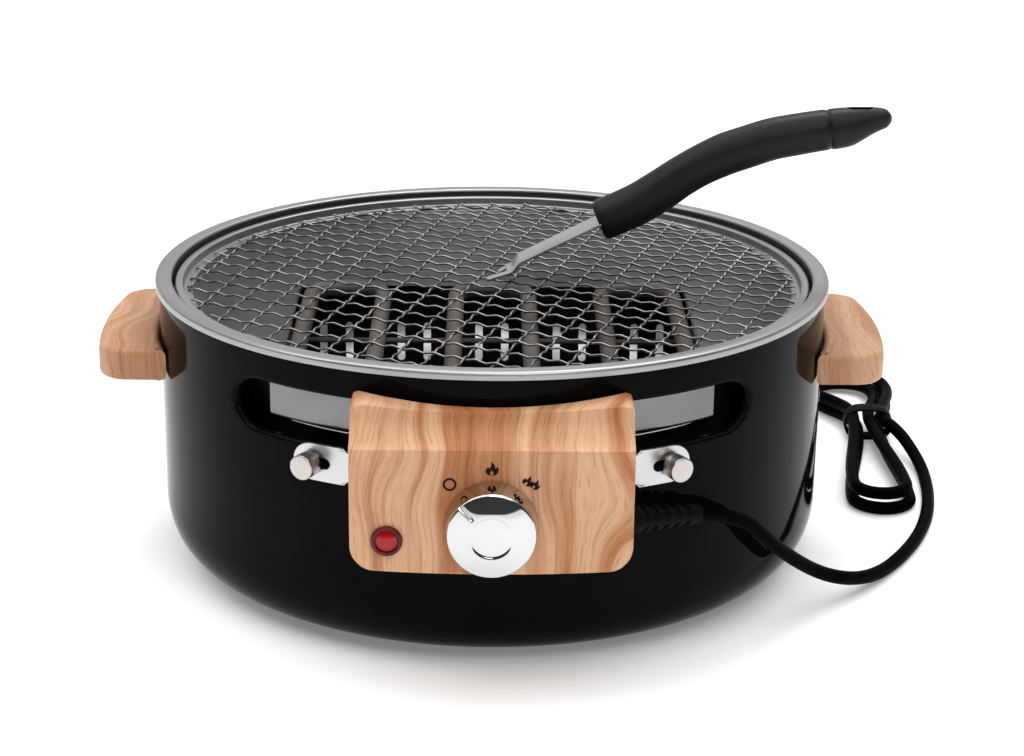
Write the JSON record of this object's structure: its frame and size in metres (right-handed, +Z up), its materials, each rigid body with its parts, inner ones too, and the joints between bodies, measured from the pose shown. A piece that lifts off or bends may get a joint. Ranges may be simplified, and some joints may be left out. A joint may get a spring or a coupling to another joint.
{
  "type": "hybrid barbecue grill",
  "caption": "Round table-top grill: enamel pot with steel bowl, coal box, electric element behind a wooden control front, net, lifter and tied cord.",
  "frame": {"origin": "middle of the footprint on the table, measured without the cord and plug; the pot's axis stands 18.75 mm behind it", "axes": "+Z up; -Y towards the control front; +X to the right as the control front is faced"},
  "size_m": [0.4454, 0.4538, 0.232],
  "materials": {
    "black_enamel": "gloss",
    "box_enamel": "gloss",
    "satin_steel": "satin",
    "wire_steel": "satin",
    "element_sheath": "matte",
    "light_wood": "satin",
    "chrome": "polished",
    "black_plastic": "matte",
    "grey_plastic": "matte",
    "cord_sheath": "matte",
    "black_rubber": "matte",
    "ceramic": "matte",
    "red_lens": "gloss",
    "plug_brass": "polished"
  },
  "bodies": {
    "grill": {"outer_pot": "black_enamel", "foot_front_left": "black_rubber", "foot_front_right": "black_rubber", "foot_rear_left": "black_rubber", "foot_rear_right": "black_rubber", "inner_bowl": "satin_steel", "coal_box": "box_enamel", "box_cross_rod": "element_sheath", "heating_element": "element_sheath", "end_bush_left": "ceramic", "end_bush_right": "ceramic", "element_face_plate": "satin_steel", "element_neck": "black_plastic", "mounting_strap": "satin_steel", "clamp_nut_left": "wire_steel", "clamp_nut_right": "wire_steel", "fascia": "light_wood", "back_cover": "grey_plastic", "rotary_switch": "grey_plastic", "lamp_bezel": "black_plastic", "lamp_lens": "red_lens", "lamp_body": "grey_plastic", "terminal_block": "ceramic", "handle_left": "light_wood", "handle_right": "light_wood", "handle_spacer_left_front": "black_plastic", "handle_spacer_left_rear": "black_plastic", "handle_spacer_right_front": "black_plastic", "handle_spacer_right_rear": "black_plastic", "handle_screw_left_front": "wire_steel", "handle_screw_left_rear": "wire_steel", "handle_screw_right_front": "wire_steel", "handle_screw_right_rear": "wire_steel", "strain_relief": "black_rubber", "power_cord": "cord_sheath", "cord_hank": "cord_sheath", "cord_tail": "cord_sheath", "cord_tie": "black_plastic", "plug_body": "black_plastic", "plug_pin_left": "plug_brass", "plug_pin_right": "plug_brass"},
    "knob": {"control_knob": "chrome", "knob_shaft": "plug_brass"},
    "net": {"net_ring": "satin_steel", "grill_net": "wire_steel"},
    "lifter": {"lifter_tongue": "satin_steel", "lifter_grip": "black_plastic"},
    "screw_left": {"thumbscrew_left": "chrome"},
    "screw_right": {"thumbscrew_right": "chrome"}
  },
  "joints": [
    {"name": "knob_turn", "type": "hinge", "parent": "grill", "child": "knob", "pos_m": [0, -0.17355, 0.085], "axis": [0, 1, 0], "range_deg": [0, 86]},
    {"name": "net_lift", "type": "slide", "parent": "grill", "child": "net", "axis": [0, 0, 1], "range_m": [0, 0.1]},
    {"name": "lifter_lift", "type": "slide", "parent": "net", "child": "lifter", "axis": [0, 0, 1], "range_m": [0, 0.12]},
    {"name": "thumbscrew_left_turn", "type": "hinge", "parent": "grill", "child": "screw_left", "pos_m": [-0.07999, -0.12796, 0.098], "axis": [-0.4787, -0.878, 0], "range_deg": [0, 540]},
    {"name": "thumbscrew_right_turn", "type": "hinge", "parent": "grill", "child": "screw_right", "pos_m": [0.07999, -0.12796, 0.098], "axis": [0.4787, -0.878, 0], "range_deg": [0, 540]}
  ]
}
